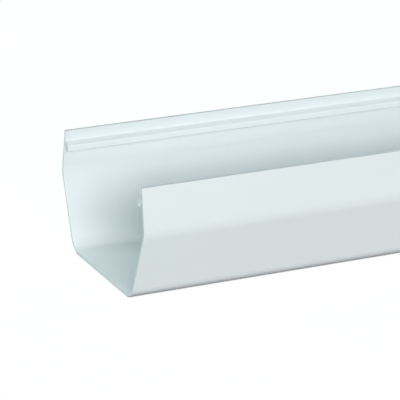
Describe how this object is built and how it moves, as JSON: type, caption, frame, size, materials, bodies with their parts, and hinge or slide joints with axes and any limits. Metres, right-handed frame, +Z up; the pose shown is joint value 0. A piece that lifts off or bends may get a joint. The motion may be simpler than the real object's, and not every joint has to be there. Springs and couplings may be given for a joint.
{
  "type": "box gutter length",
  "caption": "Straight length of PVC box gutter, open along the top and at both cut ends, with a flat base, waisted walls and hooked clip ribs inside the rims.",
  "frame": {"origin": "on the underside, at mid-length and mid-width", "axes": "+X along the gutter's length, +Y across it, +Z up out of its open top"},
  "size_m": [2, 0.125, 0.076],
  "materials": {
    "upvc": "smooth extruded white PVC, semi-gloss"
  },
  "bodies": {
    "root": {"gutter": "upvc"}
  },
  "joints": []
}
